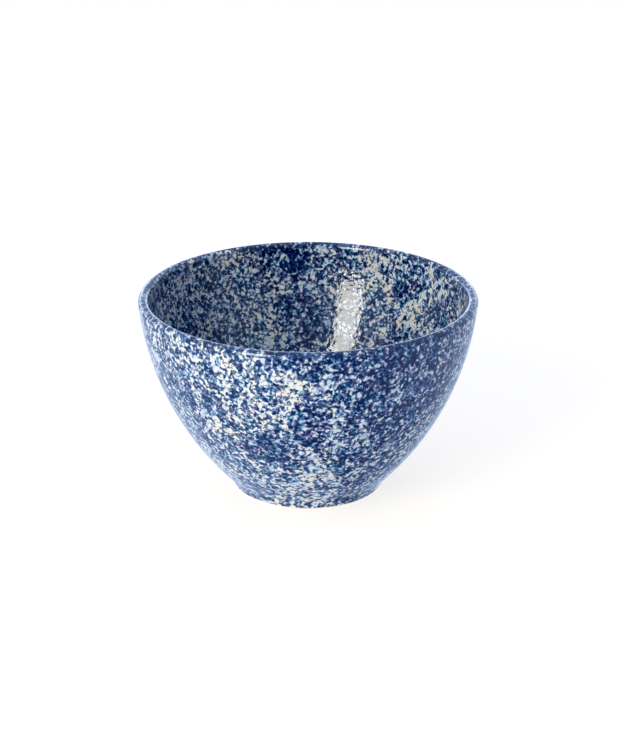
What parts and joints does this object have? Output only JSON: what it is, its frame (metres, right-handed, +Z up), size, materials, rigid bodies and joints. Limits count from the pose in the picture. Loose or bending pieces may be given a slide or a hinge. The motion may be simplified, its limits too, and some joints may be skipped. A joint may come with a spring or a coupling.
{
  "type": "cereal bowl",
  "caption": "Deep round stoneware cereal bowl with a full-round lip, a smoothly curved wall and a small turned foot, sponged in blue under a clear glaze.",
  "frame": {"origin": "centre of the foot's standing face, on the table", "axes": "+Z up along the bowl's axis; the bowl is round, so X and Y are free, and the picture looks along +Y"},
  "size_m": [0.15, 0.15, 0.09],
  "materials": {
    "bare_clay": "matte",
    "sponged_blue": "matte",
    "glaze_over_blue": "gloss",
    "glaze_over_clay": "gloss"
  },
  "bodies": {
    "root": {"clay_body": "bare_clay", "foot_ring": "bare_clay", "outside_colour": "sponged_blue", "inside_colour": "sponged_blue", "outside_glaze": "glaze_over_blue", "inside_glaze": "glaze_over_blue", "base_glaze": "glaze_over_clay"}
  },
  "joints": []
}
